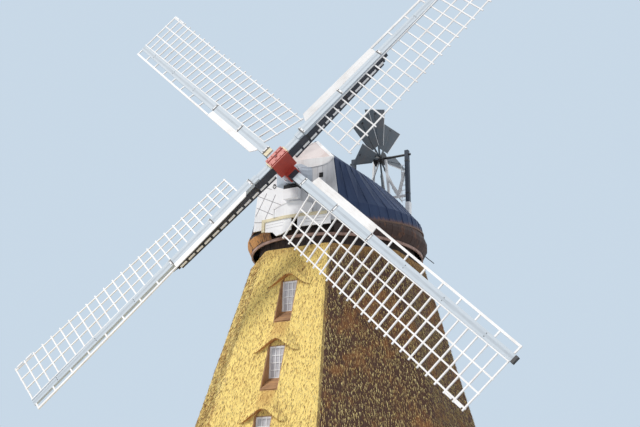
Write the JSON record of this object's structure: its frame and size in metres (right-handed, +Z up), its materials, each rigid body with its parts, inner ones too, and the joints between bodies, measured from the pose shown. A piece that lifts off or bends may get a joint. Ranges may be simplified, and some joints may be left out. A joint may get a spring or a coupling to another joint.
{
  "type": "traditional windmill",
  "caption": "Eight-sided thatched tower mill with a turning cap, a tilted windshaft with four lattice sails and a fantail wheel behind.",
  "frame": {"origin": "on the ground at the tower's upright axis", "axes": "+Z up; -Y is the front, where the windows stand in a column and the sails turn; +X is to the right seen from the front"},
  "size_m": [17.368, 11.9492, 22.3079],
  "materials": {
    "masonry": "weathered brick",
    "floor_boards": "bare boards",
    "thatch": "weathered reed thatch",
    "dark_timber": "tarred boards",
    "frame_timber": "bare timber",
    "brown_boards": "weathered brown boards",
    "white_paint": "white painted boards",
    "cream_paint": "cream painted moulding",
    "roof_sheet": "dark slate-blue sheet",
    "pale_blue_paint": "pale blue-grey painted timber",
    "stock_paint": "black tarred timber",
    "red_iron": "red painted iron",
    "dark_iron": "dark painted iron",
    "fan_paint": "grey-blue painted boards",
    "pane": "clear glass",
    "door_paint": "brown painted boards"
  },
  "bodies": {
    "tower": {"base_wall": "masonry", "ground_floor": "masonry", "lower_floor": "floor_boards", "middle_floor": "floor_boards", "top_floor": "floor_boards", "thatch_front": "thatch", "thatch_front_right": "thatch", "thatch_right": "thatch", "thatch_rear_right": "thatch", "thatch_rear": "thatch", "thatch_rear_left": "thatch", "thatch_left": "thatch", "thatch_front_left": "thatch", "curb_band": "dark_timber", "curb_ring": "dark_timber", "window_linings": "brown_boards", "window_sashes": "white_paint", "window_glass": "pane", "door_frames": "white_paint", "door_leaves": "door_paint", "door_steps": "masonry"},
    "cap": {"cap_ring": "frame_timber", "sheers": "frame_timber", "cap_deck": "frame_timber", "shaft_beams": "frame_timber", "skirt_left": "brown_boards", "skirt_right": "brown_boards", "skirt_hem": "dark_timber", "breast_left": "white_paint", "breast_right": "white_paint", "neck_collar": "pale_blue_paint", "hatch_box": "white_paint", "roof_lower_left": "roof_sheet", "roof_lower_right": "roof_sheet", "rear_wall": "roof_sheet", "front_hip": "white_paint", "roof_upper": "roof_sheet", "ridge_roll": "roof_sheet", "valance": "white_paint", "moulding": "cream_paint", "plain_boards": "white_paint", "fan_posts": "stock_paint", "fan_struts": "white_paint"},
    "sails": {"windshaft": "pale_blue_paint", "poll_end": "red_iron", "stock_front": "stock_paint", "stock_rear": "stock_paint", "whips": "pale_blue_paint", "windboards": "white_paint", "leading_rails": "white_paint", "lattice_1": "white_paint", "lattice_2": "white_paint", "lattice_3": "white_paint", "lattice_4": "white_paint"},
    "fan": {"fan_shaft": "dark_iron", "fan_hub": "dark_iron", "fan_blades": "fan_paint"}
  },
  "joints": [
    {"name": "cap_yaw", "type": "hinge", "parent": "tower", "child": "cap", "pos_m": [0, 0, 12.03], "axis": [0, 0, 1], "continuous": true},
    {"name": "sail_spin", "type": "hinge", "parent": "cap", "child": "sails", "pos_m": [0, -4.206, 14.012], "axis": [0, -0.9703, 0.2419], "continuous": true},
    {"name": "fan_spin", "type": "hinge", "parent": "cap", "child": "fan", "pos_m": [0, 3.37, 16.76], "axis": [1, 0, 0], "continuous": true}
  ]
}
